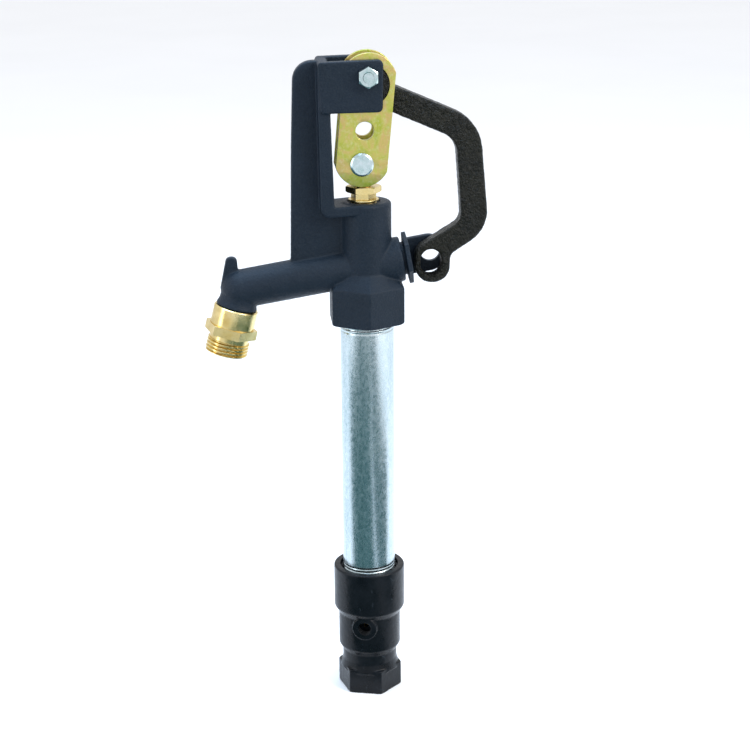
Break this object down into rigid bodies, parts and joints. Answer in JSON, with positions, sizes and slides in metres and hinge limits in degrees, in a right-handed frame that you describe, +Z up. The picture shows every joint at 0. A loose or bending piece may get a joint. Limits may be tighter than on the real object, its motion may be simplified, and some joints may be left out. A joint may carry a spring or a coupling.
{
  "type": "frost-proof yard hydrant",
  "caption": "Frost-proof yard hydrant: cast head with hose outlet and lockable lift handle, short standpipe and foot valve with drain.",
  "frame": {"origin": "centre of the supply inlet, in the lower end face of the valve body", "axes": "+Z up along the standpipe, hose outlet towards -X, handle towards +X, front of the head towards -Y"},
  "size_m": [0.1746, 0.0516, 0.4151],
  "materials": {
    "coated_casting": "fine textured powder coat",
    "foot_valve_iron": "black coated, semi-gloss",
    "handle_iron": "black cast skin, pebbled",
    "brass": "machined",
    "galvanised_steel": "zinc coated, mottled",
    "yellow_zinc_steel": "yellow chromate, iridescent",
    "bright_zinc_steel": "bright zinc",
    "rubber": "matt",
    "graphite_packing": "braided, graphite filled"
  },
  "bodies": {
    "hydrant": {"valve_body": "foot_valve_iron", "valve_seat": "brass", "standpipe": "galvanised_steel", "head_casting": "coated_casting", "hose_adapter": "brass", "lock_plug": "coated_casting", "packing_nut": "brass", "packing_washer": "brass", "packing_ring": "graphite_packing", "pivot_bolt": "bright_zinc_steel", "pivot_nut": "bright_zinc_steel"},
    "handle": {"handle": "handle_iron"},
    "links": {"front_link": "yellow_zinc_steel", "rear_link": "yellow_zinc_steel", "link_pin": "bright_zinc_steel", "pin_washer": "bright_zinc_steel", "pin_cotter": "bright_zinc_steel"},
    "rod": {"valve_stem": "brass", "rod_coupling": "galvanised_steel", "operating_rod": "galvanised_steel", "rod_jam_nut": "bright_zinc_steel", "plunger_body": "brass", "plunger_seal": "rubber", "seal_screw": "brass", "lower_o_ring": "rubber", "upper_o_ring": "rubber"}
  },
  "joints": [
    {"name": "handle_pivot", "type": "hinge", "parent": "hydrant", "child": "handle", "pos_m": [0.0004, 0, 0.4022], "axis": [0, -1, 0], "range_deg": [0, 145]},
    {"name": "link_swing", "type": "hinge", "parent": "handle", "child": "links", "pos_m": [0.0015, 0, 0.3963], "axis": [0, -1, 0], "range_deg": [-145, 0]},
    {"name": "rod_lift", "type": "slide", "parent": "hydrant", "child": "rod", "axis": [0, 0, 1], "range_m": [0, 0.01141]}
  ],
  "couplings": [
    {"joint": "link_swing", "follows": "handle_pivot", "ratio": -1},
    {"joint": "rod_lift", "follows": "handle_pivot", "m_per_rad": 0.0044904}
  ]
}
